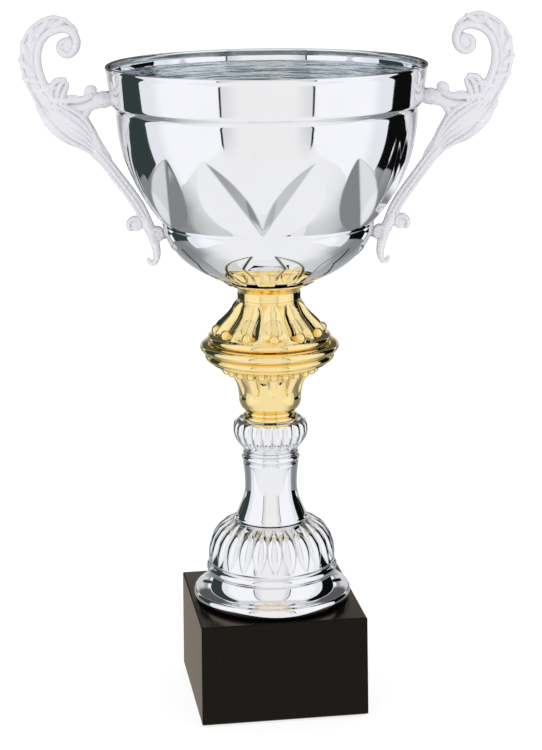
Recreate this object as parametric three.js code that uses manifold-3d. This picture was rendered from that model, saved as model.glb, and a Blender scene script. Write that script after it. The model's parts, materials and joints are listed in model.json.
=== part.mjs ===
// A two-handled cup trophy: a silver bowl with translucent scroll handles, a gold crown, bell and
// cup, a silver knop, column and foot, and a dark marble block, clamped together by one tie rod.
// Millimetres. +Z is up, the front looks along -Y, and the origin is the centre of the underside.

import * as THREE from 'three';
import { mergeVertices } from 'three/addons/utils/BufferGeometryUtils.js';
import Module from 'manifold-3d';

const wasm = await Module();
wasm.setup();

// Driving dimensions
const GAP = 0.3; // clearance where two pieces rest on each other
const PAD_HEIGHT = 0.6;
const PAD_SIDE = 14;
const PAD_CHAMFER = 0.15;
const PAD_INSET = 13; // from the block's edges to a pad's centre
const BLOCK_SIDE = 80;
const BLOCK_TOP = 47.2;
const BLOCK_TURN = THREE.MathUtils.degToRad(8.5); // the block sits slightly turned against the handles
const BLOCK_CHAMFER = 0.6;
const COUNTERBORE_RADIUS = 12;
const COUNTERBORE_DEPTH = 11;
const ROD_RADIUS = 3;
const ROD_BOTTOM = PAD_HEIGHT + 3;
const ROD_RISE = 9; // above the bowl's floor
const HOLE_RADIUS = ROD_RADIUS + 0.4;
const ROD_WASHER_RADIUS = 9;
const ROD_WASHER_HEIGHT = 1.6;
const NUT_HEIGHT = 5;
const NUT_FLATS = 10; // from one flat side to the opposite one
const OVERCUT = 1; // how far a cutting tool stands out of the piece that it cuts
const FOOT_RADIUS = 38.4;
const FOOT_TOP = 85.2;
const COLUMN_TOP = 113.9;
const COLLAR_TOP = 119.2;
const KNOP_TOP = 134.6;
const KNOP_RADIUS = 18.5;
const GOLD_CUP_TOP = 172.8;
const BELL_TOP = 194;
const BEAD_RING = 27.3;
const BEAD_Z = 180.2;
const FLUTE_TURN = THREE.MathUtils.degToRad(5); // one bead and its flute stand this far right of the front
const NECK_RADIUS = 15.8;
const CROWN_RADIUS = 22.8;
const BOWL_BOTTOM = 200.8;
const CREASE = { r: 52.2, z: 232 }; // where the bowl's body meets its lower cap
const SHOULDER_Z = 288.6;
const BODY_RADIUS = 74.5;
const BODY_DEPTH = 78.6; // the body's outline is a quarter ellipse of this depth, cut off at the crease
const BAND_BOTTOM = { r: 77.2, z: 291.3 };
const BAND_TOP = { r: 79.3, z: 307.3 };
const RIM = { r: 78.5, z: 308.8, roll: 1.6 };
const WALL = 1.2;
const MOULDING_WALL = 2.2;
const HANDLE_THICKNESS = 9;
const HANDLE_BEVEL = 1.4;
const SCREW_RADIUS = 2;
const SCREW_LENGTH = 7;
const SCREW_HEAD = 3;
const SCREW_HEAD_HEIGHT = 2.2;
const WASHER_RADIUS = 3.3;
const WASHER_HEIGHT = 0.9;
const WASHER_GAP = 0.95; // a flat washer in the round bowl touches only at its edges
const UPPER_SCREW_Z = 295;
const LOWER_SCREW_SHARE = 0.88; // place of the lower screw along the cap's curve

const FINE = 48; // segments round a piece with 24 or 12 repeats
const BOWL_SEGMENTS = 36;
const PLAIN = 24;
const ROD_SEGMENTS = 16;
const SMALL = 12;
const GADROONS = 24;
const GADROON_DEPTH = 1.3;
const KNOP_LOBES = 20;
const KNOP_LOBE_DEPTH = 1.1;
const FLUTES = 12;
const FLUTE_DEPTH = 1.4;
const PETALS = 8;
const PETAL_DEPTH = 1.6;

const silver = { color: 0xd8dadd, roughness: 0.08, metalness: 1 };
const gold = { color: 0xe6b84e, roughness: 0.12, metalness: 1 };
const marble = { color: 0x1c1715, roughness: 0.25, metalness: 0 };
const clear = { color: 0xe9e8f0, roughness: 0.3, metalness: 0, transparent: true, opacity: 0.85 };
const steel = { color: 0xa9abad, roughness: 0.35, metalness: 1 };
const rubber = { color: 0x242424, roughness: 0.9, metalness: 0 };

const trophy = new THREE.Group();

function place(name, geometry, finish) {
  const mesh = new THREE.Mesh(geometry, new THREE.MeshStandardMaterial(finish));
  mesh.name = name;
  trophy.add(mesh);
  return mesh;
}

// Booleans

function solid(geometry) {
  const bare = geometry.clone();
  bare.deleteAttribute('normal');
  bare.deleteAttribute('uv');
  const merged = mergeVertices(bare, 1e-4);
  return new wasm.Manifold(new wasm.Mesh({
    numProp: 3,
    vertProperties: merged.attributes.position.array,
    triVerts: new Uint32Array(merged.index.array),
  }));
}

function geometryOf(body) {
  const { vertProperties, triVerts } = body.getMesh();
  const geometry = new THREE.BufferGeometry();
  geometry.setAttribute('position', new THREE.BufferAttribute(vertProperties, 3));
  geometry.setIndex(new THREE.BufferAttribute(triVerts, 1));
  return geometry;
}

function joined(geometries) {
  return geometries.map(solid).reduce((all, next) => all.add(next));
}

function cut(body, geometries) {
  return geometries.map(solid).reduce((rest, tool) => rest.subtract(tool), body);
}

// Turned pieces

function point(r, z) {
  return new THREE.Vector2(r, z);
}

// A closed outline of radius and height, turned round Z. It runs up the outside and down the inside.
// shapeRadius(radius, angle, z) can swell or cut the surface, for lobes and flutes.
function turned(outline, segments, shapeRadius) {
  const geometry = new THREE.LatheGeometry([...outline, outline[0]], segments);
  geometry.rotateX(Math.PI / 2);
  if (shapeRadius) {
    const position = geometry.attributes.position;
    for (let i = 0; i < position.count; i++) {
      const [x, y, z] = [position.getX(i), position.getY(i), position.getZ(i)];
      const radius = Math.hypot(x, y);
      const grown = shapeRadius(radius, Math.atan2(x, -y), z) / radius;
      position.setXY(i, x * grown, y * grown);
    }
  }
  return geometry;
}

function ring(inner, outer, bottom, top, segments) {
  return turned([point(inner, bottom), point(outer, bottom), point(outer, top), point(inner, top)], segments);
}

// A line moved sideways: to its left for a positive distance, which is inwards for a line that runs up
function offsetLine(line, distance) {
  return line.map((at, i) => {
    const before = line[Math.max(i - 1, 0)];
    const after = line[Math.min(i + 1, line.length - 1)];
    const along = after.clone().sub(before).normalize();
    return point(at.x - along.y * distance, at.y + along.x * distance);
  });
}

// 1 on a lobe's crown and 0 in the groove between two lobes
function lobe(angle, count) {
  return Math.abs(Math.sin(count * angle / 2));
}

// The rod's hole through a piece's top plate, above a wider hollow that is open underneath
function hollow(bottom, top, radius) {
  const ceiling = top - MOULDING_WALL;
  return [
    point(HOLE_RADIUS, top),
    point(HOLE_RADIUS, ceiling),
    point(radius, ceiling),
    point(radius, bottom),
  ];
}

// Base

// A square slab, centred on Z, with all its edges chamfered
function chamferedSlab(side, bottom, top, chamfer) {
  const half = side / 2 - chamfer;
  const square = new THREE.Shape([
    point(-half, -half),
    point(half, -half),
    point(half, half),
    point(-half, half),
  ]);
  const geometry = new THREE.ExtrudeGeometry(square, {
    depth: top - bottom - 2 * chamfer,
    bevelThickness: chamfer,
    bevelSize: chamfer,
    bevelSegments: 1,
  });
  geometry.translate(0, 0, bottom + chamfer);
  return geometry;
}

function marbleBase() {
  const bottom = PAD_HEIGHT + GAP;
  const block = chamferedSlab(BLOCK_SIDE, bottom, BLOCK_TOP, BLOCK_CHAMFER);
  const rodHole = upright(HOLE_RADIUS, bottom - OVERCUT, BLOCK_TOP + OVERCUT, ROD_SEGMENTS);
  const counterbore = upright(COUNTERBORE_RADIUS, bottom - OVERCUT, bottom + COUNTERBORE_DEPTH, PLAIN);
  return geometryOf(cut(solid(block), [rodHole, counterbore]));
}

function upright(radius, bottom, top, segments) {
  const bar = new THREE.CylinderGeometry(radius, radius, top - bottom, segments);
  bar.rotateX(Math.PI / 2);
  bar.translate(0, 0, (bottom + top) / 2);
  return bar;
}

function rodWasher(bottom) {
  return ring(HOLE_RADIUS, ROD_WASHER_RADIUS, bottom, bottom + ROD_WASHER_HEIGHT, 20);
}

function nut(bottom) {
  const top = bottom + NUT_HEIGHT;
  const hexagon = upright(NUT_FLATS / Math.sqrt(3), bottom, top, 6);
  const bore = upright(ROD_RADIUS + GAP, bottom - OVERCUT, top + OVERCUT, SMALL);
  return geometryOf(cut(solid(hexagon), [bore]));
}

function addBase() {
  const block = place('marble_base', marbleBase(), marble);
  block.rotation.z = BLOCK_TURN;
  const reach = BLOCK_SIDE / 2 - PAD_INSET;
  const corners = [[-1, -1], [1, -1], [1, 1], [-1, 1]];
  corners.forEach(([x, y], i) => {
    const centre = new THREE.Vector2(x * reach, y * reach).rotateAround(new THREE.Vector2(), BLOCK_TURN);
    const pad = place(`base_pad_${i + 1}`, chamferedSlab(PAD_SIDE, 0, PAD_HEIGHT, PAD_CHAMFER), rubber);
    pad.position.set(centre.x, centre.y, 0);
    pad.rotation.z = BLOCK_TURN;
  });
  const ceiling = PAD_HEIGHT + GAP + COUNTERBORE_DEPTH;
  const washerBottom = ceiling - GAP - ROD_WASHER_HEIGHT;
  place('base_washer', rodWasher(washerBottom), steel);
  place('base_nut', nut(washerBottom - GAP - NUT_HEIGHT), steel);
}

// Stem

function footOutline() {
  const outside = new THREE.Path();
  outside.moveTo(36.8, BLOCK_TOP + GAP);
  outside.quadraticCurveTo(FOOT_RADIUS + 1, 50.4, 36.8, 52.8);
  outside.bezierCurveTo(33.4, 54, 31.2, 56.6, 30.6, 60.2);
  outside.quadraticCurveTo(33.4, 62.4, 30.8, 64.6);
  outside.lineTo(31, 66);
  outside.bezierCurveTo(31, 76.5, 28.6, 83.6, 17.6, FOOT_TOP);
  const inside = [
    point(HOLE_RADIUS, FOOT_TOP),
    point(HOLE_RADIUS, FOOT_TOP - MOULDING_WALL),
    point(15, 81.4),
    point(25, 75),
    point(27.2, 66),
    point(27.4, 57),
    point(33.4, BLOCK_TOP + GAP),
  ];
  return [...outside.getPoints(3), ...inside];
}

function foot() {
  const domeStart = 66.5;
  const domeTop = 17.9;
  return turned(footOutline(), FINE, (radius, angle, z) => {
    const gadrooned = z > domeStart && radius > domeTop;
    return gadrooned ? radius - GADROON_DEPTH * (1 - lobe(angle, GADROONS)) : radius;
  });
}

function column() {
  const bottom = FOOT_TOP + GAP;
  const outside = new THREE.Path();
  outside.moveTo(17.2, bottom);
  outside.lineTo(17.7, bottom + 1.2);
  outside.bezierCurveTo(15.2, 93.5, 13, 100, 13, COLUMN_TOP);
  return turned([...outside.getPoints(6), ...hollow(bottom, COLUMN_TOP, 9.5)], PLAIN);
}

function collar() {
  const bottom = COLUMN_TOP + GAP;
  const middle = (bottom + COLLAR_TOP) / 2;
  const outside = new THREE.Path();
  outside.moveTo(13, bottom);
  outside.quadraticCurveTo(15.9, middle, 13, COLLAR_TOP);
  return turned([...outside.getPoints(4), point(HOLE_RADIUS, COLLAR_TOP), point(HOLE_RADIUS, bottom)], PLAIN);
}

function knop() {
  const bottom = COLLAR_TOP + GAP;
  const halfHeight = 13.8;
  const middle = 129;
  const low = Math.asin((bottom - middle) / halfHeight);
  const high = Math.asin((KNOP_TOP - middle) / halfHeight);
  const outside = new THREE.Path();
  outside.absellipse(0, middle, KNOP_RADIUS, halfHeight, low, high, false, 0);
  const hollowRadius = 9.5;
  const outline = [...outside.getPoints(3), ...hollow(bottom, KNOP_TOP, hollowRadius)];
  return turned(outline, 2 * KNOP_LOBES, (radius, angle) => (
    radius > hollowRadius + 1 ? radius - KNOP_LOBE_DEPTH * (1 - lobe(angle, KNOP_LOBES)) : radius
  ));
}

// Gold pieces

function goldCup() {
  const bottom = KNOP_TOP + GAP;
  const outside = new THREE.Path();
  outside.moveTo(13.6, bottom);
  outside.lineTo(13.6, bottom + 2);
  outside.lineTo(12, bottom + 2.4);
  outside.lineTo(12, bottom + 4);
  outside.bezierCurveTo(14.6, 140.4, 15.6, 143, 15.5, 146.5);
  outside.bezierCurveTo(15.6, 152, 18, 158.6, 26.5, 161);
  outside.lineTo(29, 162.4);
  outside.quadraticCurveTo(33.6, 164, 31.4, 167.4);
  outside.quadraticCurveTo(36.6, 170, 31.6, GOLD_CUP_TOP);
  const inside = [...hollow(163.5, GOLD_CUP_TOP, 25), point(13, 150), point(9.6, 142), point(9.6, bottom)];
  return turned([...outside.getPoints(3), ...inside], 32);
}

function bead(angle) {
  const sphere = new THREE.SphereGeometry(2.2, 6, 4);
  sphere.translate(BEAD_RING * Math.sin(angle), -BEAD_RING * Math.cos(angle), BEAD_Z);
  return sphere;
}

function goldBell() {
  const bottom = GOLD_CUP_TOP + GAP;
  const outside = new THREE.Path();
  outside.moveTo(30.4, bottom);
  outside.quadraticCurveTo(33.8, 175.4, 29.8, 178.4);
  outside.bezierCurveTo(25.4, 183, 19.4, 185, 16.2, BELL_TOP);
  const inside = [...hollow(180, BELL_TOP, 13), point(26.6, bottom + 2), point(26.6, bottom)];
  const body = turned([...outside.getPoints(4), ...inside], FINE, (radius, angle, z) => {
    const fluted = radius > NECK_RADIUS && z > 178.6 && z < BELL_TOP - 0.1;
    return fluted ? radius - FLUTE_DEPTH * (1 - lobe(angle - FLUTE_TURN, FLUTES)) : radius;
  });
  const beads = [];
  for (let i = 0; i < FLUTES; i++) {
    beads.push(bead(FLUTE_TURN + 2 * Math.PI * i / FLUTES));
  }
  return geometryOf(joined([body, ...beads]));
}

function goldCrown() {
  const bottom = BELL_TOP + GAP;
  const seat = offsetLine(capCurve().getPoints(5), -GAP).filter((at) => at.x < CROWN_RADIUS - 0.6);
  const outside = new THREE.Path();
  outside.moveTo(NECK_RADIUS, bottom);
  outside.lineTo(NECK_RADIUS - 0.2, 197.6);
  outside.quadraticCurveTo(NECK_RADIUS + 1, 200.4, CROWN_RADIUS, 202.2);
  const outline = [
    ...outside.getPoints(3),
    ...seat.reverse(),
    point(9, BOWL_BOTTOM - GAP),
    point(HOLE_RADIUS, BOWL_BOTTOM - GAP),
    point(HOLE_RADIUS, 197),
    point(12, 197),
    point(12, bottom),
  ];
  return turned(outline, 4 * PETALS, (radius, angle) => (
    radius > NECK_RADIUS + 2 ? radius - PETAL_DEPTH * (1 - lobe(angle, PETALS)) : radius
  ));
}

// Bowl

function capCurve() {
  return new THREE.CubicBezierCurve(
    point(12, BOWL_BOTTOM), point(30, BOWL_BOTTOM + 2.7), point(50, 214), point(CREASE.r, CREASE.z),
  );
}

// The bowl's outside from the rod's hole up to the rolled rim
function bowlOutside(capSteps = 5, bodySteps = 6) {
  const creaseAngle = -Math.asin((SHOULDER_Z - CREASE.z) / BODY_DEPTH);
  const body = new THREE.EllipseCurve(0, SHOULDER_Z, BODY_RADIUS, BODY_DEPTH, creaseAngle, 0);
  return [
    point(HOLE_RADIUS, BOWL_BOTTOM),
    ...capCurve().getPoints(capSteps),
    ...body.getPoints(bodySteps).slice(1),
    point(BAND_BOTTOM.r, BAND_BOTTOM.z),
    point(BAND_TOP.r, BAND_TOP.z),
  ];
}

function rimRoll() {
  const roll = new THREE.EllipseCurve(RIM.r, RIM.z, RIM.roll, RIM.roll, -Math.PI / 6, Math.PI * 1.1);
  return roll.getPoints(4);
}

function bowl() {
  const outside = bowlOutside();
  const inside = offsetLine(bowlOutside(5, 4), WALL).reverse();
  const shell = turned([...outside, ...rimRoll(), ...inside.slice(1)], BOWL_SEGMENTS);
  const holes = screwPlaces().map((at) => alongScrew(
    new THREE.CylinderGeometry(SCREW_RADIUS + GAP, SCREW_RADIUS + GAP, 12, SMALL).rotateX(Math.PI / 2), at,
  ));
  return geometryOf(cut(solid(shell), holes));
}

// Screws: each place has a point on the bowl's outside and the direction that points out of it

function screwPlaces() {
  const cap = capCurve();
  const lower = cap.getPoint(LOWER_SCREW_SHARE);
  const lowerSlope = cap.getTangent(LOWER_SCREW_SHARE);
  const share = (UPPER_SCREW_Z - BAND_BOTTOM.z) / (BAND_TOP.z - BAND_BOTTOM.z);
  const upper = point(THREE.MathUtils.lerp(BAND_BOTTOM.r, BAND_TOP.r, share), UPPER_SCREW_Z);
  const upperSlope = point(BAND_TOP.r - BAND_BOTTOM.r, BAND_TOP.z - BAND_BOTTOM.z).normalize();
  const right = [[upper, upperSlope], [lower, lowerSlope]].map(([at, slope]) => ({
    at: new THREE.Vector3(at.x, 0, at.y),
    out: new THREE.Vector3(slope.y, 0, -slope.x),
  }));
  const left = right.map(({ at, out }) => ({ at: at.clone().setX(-at.x), out: out.clone().setX(-out.x) }));
  return [...left, ...right];
}

// Moves a piece made along +Z from the origin to a screw's place
function alongScrew(geometry, { at, out }) {
  const turn = new THREE.Quaternion().setFromUnitVectors(new THREE.Vector3(0, 0, 1), out);
  geometry.applyQuaternion(turn);
  geometry.translate(at.x, at.y, at.z);
  return geometry;
}

function screw() {
  const headBottom = -(WALL + WASHER_GAP + WASHER_HEIGHT + GAP);
  const outline = [
    point(0, headBottom - SCREW_HEAD_HEIGHT),
    point(2.4, headBottom - SCREW_HEAD_HEIGHT + 0.5),
    point(SCREW_HEAD, headBottom),
    point(SCREW_RADIUS, headBottom),
    point(SCREW_RADIUS, SCREW_LENGTH),
    point(0, SCREW_LENGTH),
  ];
  const geometry = new THREE.LatheGeometry(outline, SMALL);
  geometry.rotateX(Math.PI / 2);
  return geometry;
}

function addScrews() {
  const names = ['left_upper', 'left_lower', 'right_upper', 'right_lower'];
  screwPlaces().forEach((at, i) => {
    place(`handle_screw_${names[i]}`, alongScrew(screw(), at), steel);
    const top = -(WALL + WASHER_GAP);
    const washer = ring(SCREW_RADIUS + GAP, WASHER_RADIUS, top - WASHER_HEIGHT, top, SMALL);
    place(`screw_washer_${names[i]}`, alongScrew(washer, at), steel);
  });
}

// Handles: flat shapes in the plane of the trophy's axis, given as distance from the axis and height

// A band that follows stations of [distance, height, half width]
function band(stations, steps) {
  const spine = new THREE.CatmullRomCurve3(stations.map((station) => new THREE.Vector3(...station)));
  const left = [];
  const right = [];
  for (let i = 0; i <= steps; i++) {
    const at = spine.getPoint(i / steps);
    const along = spine.getTangent(i / steps).setZ(0).normalize();
    left.push(point(at.x - along.y * at.z, at.y + along.x * at.z));
    right.unshift(point(at.x + along.y * at.z, at.y - along.x * at.z));
  }
  return new THREE.Shape([...left, ...right]);
}

function disc(r, z, radius) {
  const sides = 12;
  const edge = [];
  for (let i = 0; i < sides; i++) {
    const angle = 2 * Math.PI * i / sides;
    edge.push(point(r + radius * Math.cos(angle), z + radius * Math.sin(angle)));
  }
  return new THREE.Shape(edge);
}

function slab(shape, thickness) {
  const geometry = new THREE.ExtrudeGeometry(shape, {
    depth: thickness - 2 * HANDLE_BEVEL,
    bevelThickness: HANDLE_BEVEL,
    bevelSize: HANDLE_BEVEL * 0.8,
    bevelOffset: -HANDLE_BEVEL * 0.8,
    bevelSegments: 1,
    curveSegments: 7,
  });
  geometry.translate(0, 0, HANDLE_BEVEL - thickness / 2);
  geometry.rotateX(Math.PI / 2);
  return geometry;
}

function handleStem() {
  return band([
    [94.8, 319, 3.2], [94.9, 323.6, 3.4], [98, 328.2, 4], [104, 330, 4.9],
    [110.9, 327.4, 5.3], [115.7, 320.8, 5.6], [116.7, 312.8, 5.6], [115.2, 304.6, 5.5],
    [111.8, 296.6, 6], [105, 287.6, 8], [95.6, 279.4, 8], [86.4, 269.6, 5.4], [77.4, 258.4, 3.2],
    [68.4, 246.8, 2.8], [61.6, 236.4, 2.8], [58, 227, 3], [55.6, 217.6, 2.2], [57.2, 212.2, 1.8],
  ], 46);
}

function handleArm() {
  return band([[104, 291.6, 3.4], [97, 290.6, 3.6], [89.6, 291, 3.4], [83, 292.8, 3.8], [76, 293, 4]], 9);
}

function acanthusTip() {
  return band([[105, 292, 3.6], [104.4, 298, 3], [101.6, 302, 2], [98.8, 303, 1]], 6);
}

// A solid that fills the bowl's outside and a little more, to seat the handles' bosses on it
function bowlSeat() {
  const skin = offsetLine(bowlOutside(), -GAP).filter((at) => at.x > 40);
  const core = 38;
  return turned([point(core, skin[0].y), ...skin, point(core, skin[skin.length - 1].y)], BOWL_SEGMENTS);
}

function rightHandle() {
  const thickness = HANDLE_THICKNESS;
  const parts = [
    slab(handleStem(), thickness),
    slab(handleArm(), thickness - 1),
    slab(acanthusTip(), thickness - 2),
    slab(disc(98.4, 318.6, 5), thickness + 1),
    slab(disc(87, 296.4, 2.9), thickness - 2),
    slab(disc(64.8, 231.4, 4.6), thickness + 1),
    slab(disc(54.8, 225.6, 4.4), thickness + 1),
  ];
  const [, , upper, lower] = screwPlaces();
  const bores = [upper, lower].map((at) => alongScrew(
    new THREE.CylinderGeometry(SCREW_RADIUS + GAP, SCREW_RADIUS + GAP, 2 * SCREW_LENGTH + 1, SMALL)
      .rotateX(Math.PI / 2), at,
  ));
  return geometryOf(cut(joined(parts), [bowlSeat(), ...bores]));
}

addBase();
place('foot', foot(), silver);
place('stem_column', column(), silver);
place('stem_collar', collar(), silver);
place('stem_knop', knop(), silver);
place('gold_cup', goldCup(), gold);
place('gold_bell', goldBell(), gold);
place('gold_crown', goldCrown(), gold);
place('bowl', bowl(), silver);
const floor = BOWL_BOTTOM + WALL + GAP;
place('bowl_washer', rodWasher(floor), steel);
place('bowl_nut', nut(floor + ROD_WASHER_HEIGHT + GAP), steel);
place('tie_rod', upright(ROD_RADIUS, ROD_BOTTOM, floor + ROD_RISE, ROD_SEGMENTS), steel);
place('handle_right', rightHandle(), clear);
place('handle_left', rightHandle(), clear).rotation.z = Math.PI;
addScrews();

export default trophy;
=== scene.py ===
import json
import math

import bpy
import numpy as np
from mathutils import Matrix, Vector


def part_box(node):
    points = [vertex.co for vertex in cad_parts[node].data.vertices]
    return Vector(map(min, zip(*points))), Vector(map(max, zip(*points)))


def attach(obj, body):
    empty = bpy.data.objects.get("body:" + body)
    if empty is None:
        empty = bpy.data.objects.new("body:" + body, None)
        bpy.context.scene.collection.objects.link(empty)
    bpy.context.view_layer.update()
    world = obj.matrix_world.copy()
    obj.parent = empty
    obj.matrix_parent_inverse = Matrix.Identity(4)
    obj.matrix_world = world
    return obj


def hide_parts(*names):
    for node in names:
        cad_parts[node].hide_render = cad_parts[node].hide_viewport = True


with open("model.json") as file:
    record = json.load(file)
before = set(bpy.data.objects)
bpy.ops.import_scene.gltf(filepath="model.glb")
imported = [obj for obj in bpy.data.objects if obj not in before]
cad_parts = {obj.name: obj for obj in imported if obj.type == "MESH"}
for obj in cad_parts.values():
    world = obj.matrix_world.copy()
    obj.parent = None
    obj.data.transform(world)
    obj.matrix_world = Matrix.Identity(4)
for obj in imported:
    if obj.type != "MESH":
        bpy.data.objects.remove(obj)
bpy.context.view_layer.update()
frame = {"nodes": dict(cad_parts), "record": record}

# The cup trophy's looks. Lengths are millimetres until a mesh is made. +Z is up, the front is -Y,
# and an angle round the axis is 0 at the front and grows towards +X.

MM = 0.001


def heights(node):
    """Lowest and highest z of a CAD node, in millimetres."""
    low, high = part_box(node)
    return low[2] / MM, high[2] / MM


BOWL_BOTTOM = heights("bowl")[0]
BELL_TOP = heights("gold_bell")[1]

ROD_HOLE = 3.4
CREASE_R, CREASE_Z = 52.2, 232.0
BODY_R, BODY_DEPTH, BODY_MIDDLE = 74.5, 78.6, 288.6


# Curves: every one is an array of points of radius and height


def line(*points):
    return np.array(points, float)


def bezier(p0, p1, p2, p3, count=24):
    t = np.linspace(0, 1, count)[:, None]
    p0, p1, p2, p3 = (np.array(p, float) for p in (p0, p1, p2, p3))
    return (1 - t) ** 3 * p0 + 3 * t * (1 - t) ** 2 * p1 + 3 * t * t * (1 - t) * p2 + t ** 3 * p3


def arc(centre, radii, start, end, count):
    angle = np.radians(np.linspace(start, end, count))
    return np.stack([centre[0] + radii[0] * np.cos(angle), centre[1] + radii[1] * np.sin(angle)], 1)


def lengths(points):
    """Length of the outline up to each of its points."""
    return np.concatenate([[0], np.cumsum(np.hypot(*np.diff(points, axis=0).T))])


def resample(points, step):
    gaps = np.hypot(*np.diff(points, axis=0).T)
    keep = np.concatenate([[True], gaps > 1e-9])
    points = points[keep]
    along = lengths(points)
    count = max(2, int(round(along[-1] / step)) + 1)
    at = np.linspace(0, along[-1], count)
    return np.stack([np.interp(at, along, points[:, k]) for k in (0, 1)], 1)


def softened(parts, step, fillet=0.35):
    """Joins curves into one outline, rounds every corner by about the fillet and spaces the points evenly."""
    fine = 0.08
    points = resample(np.vstack(parts), fine)
    reach = int(3 * fillet / fine)
    weights = np.exp(-0.5 * (np.arange(-reach, reach + 1) * fine / fillet) ** 2)
    weights /= weights.sum()
    before = 2 * points[0] - points[reach:0:-1]
    after = 2 * points[-1] - points[-2:-reach - 2:-1]
    padded = np.vstack([before, points, after])
    smooth = np.stack([np.convolve(padded[:, k], weights, "valid") for k in (0, 1)], 1)
    smooth[0], smooth[-1] = points[0], points[-1]
    return resample(smooth, step)


def outline_normals(points):
    """Unit normals to the right of an outline that runs upwards, which is outwards."""
    along = np.gradient(points, axis=0)
    along /= np.linalg.norm(along, axis=1, keepdims=True)
    return np.stack([along[:, 1], -along[:, 0]], 1)


# Meshes


def mesh_object(name, vertices, faces, smooth=True):
    mesh = bpy.data.meshes.new(name)
    mesh.from_pydata([tuple(v) for v in np.asarray(vertices) * MM], [], [tuple(f) for f in faces])
    mesh.validate()
    mesh.polygons.foreach_set("use_smooth", [smooth] * len(mesh.polygons))
    piece = bpy.data.objects.new(name, mesh)
    bpy.context.scene.collection.objects.link(piece)
    return piece


def grid_faces(rows, columns, close_rows, close_columns):
    i, j = np.meshgrid(
        np.arange(rows if close_rows else rows - 1),
        np.arange(columns if close_columns else columns - 1),
        indexing="ij",
    )
    up, right = (i + 1) % rows, (j + 1) % columns
    corners = [i * columns + j, i * columns + right, up * columns + right, up * columns + j]
    return np.stack([c.ravel() for c in corners], 1)


def turns(around):
    """The angles of one full turn, as a row."""
    return np.linspace(0, 2 * np.pi, around, endpoint=False)[None, :]


def turned(name, outside, inside, around, relief=None, inner_relief=None):
    """A ring turned round Z. outside runs up and inside runs down.

    relief(angle, r, z, along) moves a surface outwards; along is the length of outline up to the point.
    """
    angle = turns(around)
    rows = []
    for points, move, side in ((outside, relief, 1), (inside, inner_relief, -1)):
        normals = outline_normals(points) * side
        along = lengths(points)[:, None]
        lift = move(angle, points[:, :1], points[:, 1:], along) if move else 0 * points[:, :1] * angle
        r = points[:, :1] + normals[:, :1] * lift
        z = points[:, 1:] + normals[:, 1:] * lift
        rows.append(np.stack([r * np.sin(angle), -r * np.cos(angle), z + 0 * angle], -1))
    vertices = np.vstack(rows)
    faces = grid_faces(len(vertices), around, True, True)
    return mesh_object(name, vertices.reshape(-1, 3), faces)


def span(points, low, high):
    """Lengths along an outline at which it first passes two heights."""
    along = lengths(points)
    return [along[np.argmax(points[:, 1] >= z)] for z in (low, high)]


def ease(x):
    x = np.clip(x, 0, 1)
    return x * x * (3 - 2 * x)


def across_repeat(angle, count, offset):
    """Position across the nearest of count repeats, from -1 to 1, with 0 on the repeat's middle."""
    turn = (angle - offset) * count / (2 * np.pi)
    return 2 * (turn - np.round(turn))


def dome_section(across, width):
    """Height of a rounded lobe across its width: 1 on the crown and 0 from the edge on."""
    share = np.clip(np.abs(across) / np.maximum(width, 1e-6), 0, 1)
    return np.sqrt(1 - share ** 2)


# Bowl

BOWL_AROUND = 600
BOWL_WALL = 1.0
LEAF_FANS = 6
FAN_TURN = math.radians(-2.7)
LEAF_SPREAD = math.radians(21.5)
LEAF_BOTTOM_Z, LEAF_TOP_Z = 233.0, 271.0
OUTER_TILT, INNER_TILT = math.radians(9.5), math.radians(23)
CREST_HALF, CREST_HEIGHT, CREST_LENGTH = 7.0, 0.8, 50.0
LIP_ROWS = 2  # rows of faces past the rolled rim that still look like the outside
# Vertex attribute that holds the painted dark reflection lines along the scoops' edges
EDGE_REFLECTION_ATTRIBUTE = "painted_edge_reflection"
SCOOP_TOP_Z, SCOOP_FALL = 223.5, 12.2
SCOOP_DEPTH, SCOOP_WALL = 0.5, 1.0
# Width in millimetres of the painted dark reflection line at a scoop's edge
PAINTED_LINE_WIDTH = 0.8
SCOOP_LEAST_R = 16.0
FAR_OUTSIDE = -7.0


def bowl_outside():
    band_low, band_high = (77.2, 291.6), (79.3, 307.0)
    body_start = -math.degrees(math.asin((BODY_MIDDLE - CREASE_Z) / BODY_DEPTH))
    low = BOWL_BOTTOM
    cap = bezier((12, low), (30, low + 2.7), (51.0, 215.5), (CREASE_R, CREASE_Z - 1), 40)
    body = arc((0, BODY_MIDDLE), (BODY_R, BODY_DEPTH), body_start, -2.2, 60)
    roll = arc((78.95, 308.95), (1.0, 1.05), -40, 185, 30)
    return softened([
        line((ROD_HOLE, low)), cap,
        line((CREASE_R + 0.5, CREASE_Z)), body[1:],
        line((BODY_R - 0.2, 287.4), (75.2, 289.4), (76.9, 290.6), band_low, band_high), roll,
    ], 0.6)


def lens(u, skew, power):
    """A smooth hump over u from 0 to 1; skew moves its middle and power squares it off."""
    return np.clip(1 - np.abs(2 * np.clip(u, 0, 1) ** skew - 1) ** power, 0, 1)


def body_point(angle, z):
    """A point of the bowl's body and the direction out of it there."""
    r = BODY_R * np.sqrt(1 - ((BODY_MIDDLE - z) / BODY_DEPTH) ** 2)
    slope = (BODY_R / BODY_DEPTH) ** 2 * (BODY_MIDDLE - z) / r
    point = np.stack([r * np.sin(angle), -r * np.cos(angle), z + 0 * angle], -1)
    out = np.stack([np.sin(angle) + 0 * r, -np.cos(angle) + 0 * r, -slope + 0 * angle], -1)
    return point, out / np.linalg.norm(out, axis=-1, keepdims=True)


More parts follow.
